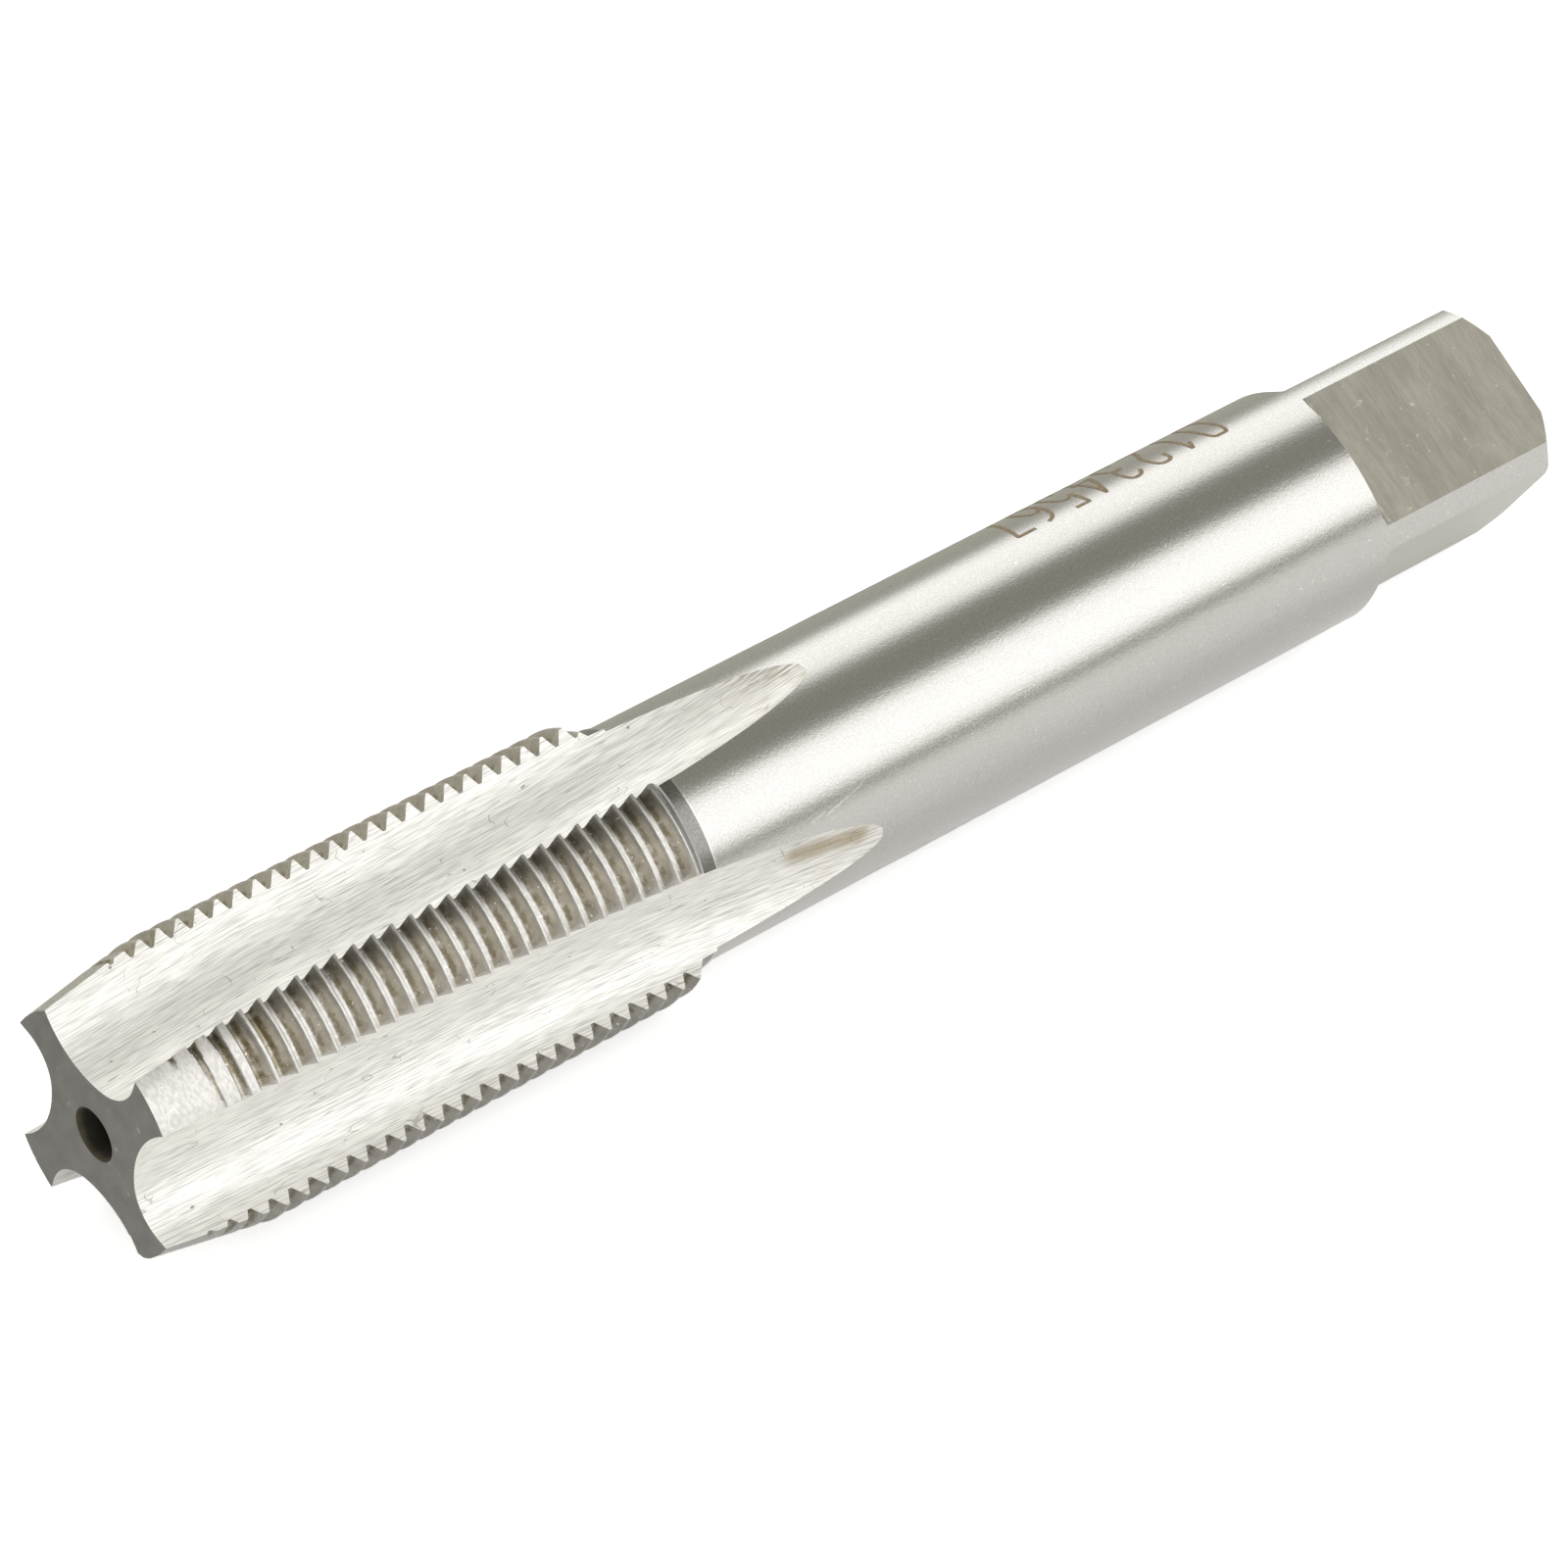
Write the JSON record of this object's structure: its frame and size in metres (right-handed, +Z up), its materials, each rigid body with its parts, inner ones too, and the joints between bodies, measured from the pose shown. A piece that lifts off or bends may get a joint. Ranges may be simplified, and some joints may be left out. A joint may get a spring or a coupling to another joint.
{
  "type": "thread tap",
  "caption": "Hand thread tap of solid steel: tapered lead, fine straight-fluted metric thread with hooked cutting faces, flutes that run out on a plain round shank, and a square drive end.",
  "frame": {"origin": "on the tap's axis, in the plane of the front face, at the mouth of the front centre hole", "axes": "+X runs along the axis from the front face to the drive square; +Z is up as the tap lies, with a flute on top and one underneath; +Y completes the right-handed frame"},
  "size_m": [0.0993, 0.0146, 0.0146],
  "materials": {
    "steel": "ground tool steel: pale and finely scratched in the flutes, satin on the shank, dull grey on the end face and the drive flats"
  },
  "bodies": {
    "root": {"tap": "steel"}
  },
  "joints": []
}
